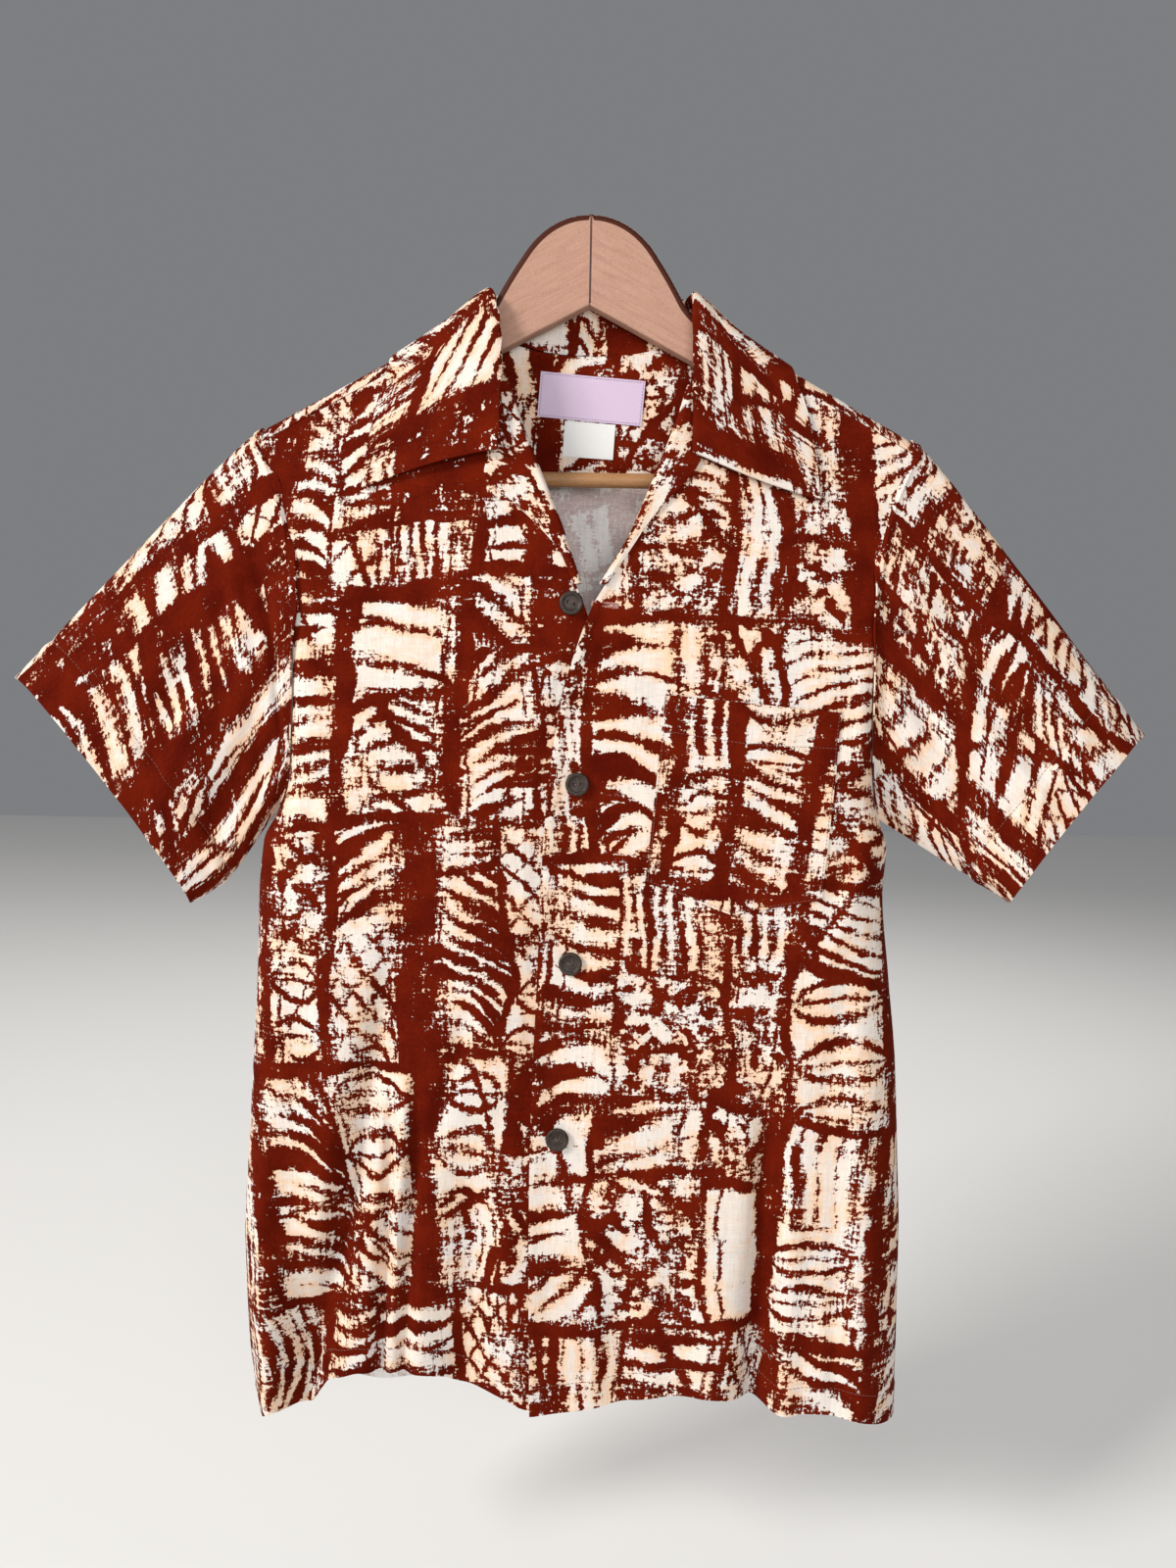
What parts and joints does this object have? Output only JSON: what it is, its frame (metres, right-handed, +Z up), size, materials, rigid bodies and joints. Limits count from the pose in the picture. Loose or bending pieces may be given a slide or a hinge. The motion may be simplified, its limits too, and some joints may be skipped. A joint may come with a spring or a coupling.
{
  "type": "hawaiian shirt on a wooden hanger",
  "caption": "Short-sleeved hawaiian shirt with an open camp collar, chest pocket and button front, hanging flat on a wooden hanger with a trouser bar.",
  "frame": {"origin": "middle of the peg hole in the hanger's head, at the head's flat back face", "axes": "+Z up, -Y out of the shirt's front, +X to the right as seen from the front"},
  "size_m": [0.7314, 0.0688, 0.7835],
  "materials": {
    "print_cloth": "slubby cotton barkcloth, printed in rust brown on cream",
    "lilac_label": "smooth woven label",
    "white_tag": "soft white tape",
    "coconut_shell": "polished coconut shell",
    "hanger_wood": "thin satin varnish, darker on the upper edge",
    "bar_wood": "varnished dowel"
  },
  "bodies": {
    "root": {"back": "print_cloth", "right_front": "print_cloth", "left_front": "print_cloth", "right_sleeve": "print_cloth", "left_sleeve": "print_cloth", "collar": "print_cloth", "right_lapel": "print_cloth", "left_lapel": "print_cloth", "back_facing": "print_cloth", "pocket": "print_cloth", "neck_label": "lilac_label", "care_tag": "white_tag", "button_1": "coconut_shell", "button_2": "coconut_shell", "button_3": "coconut_shell", "button_4": "coconut_shell", "hanger_arm_left": "hanger_wood", "hanger_arm_right": "hanger_wood", "trouser_bar": "bar_wood"}
  },
  "joints": []
}
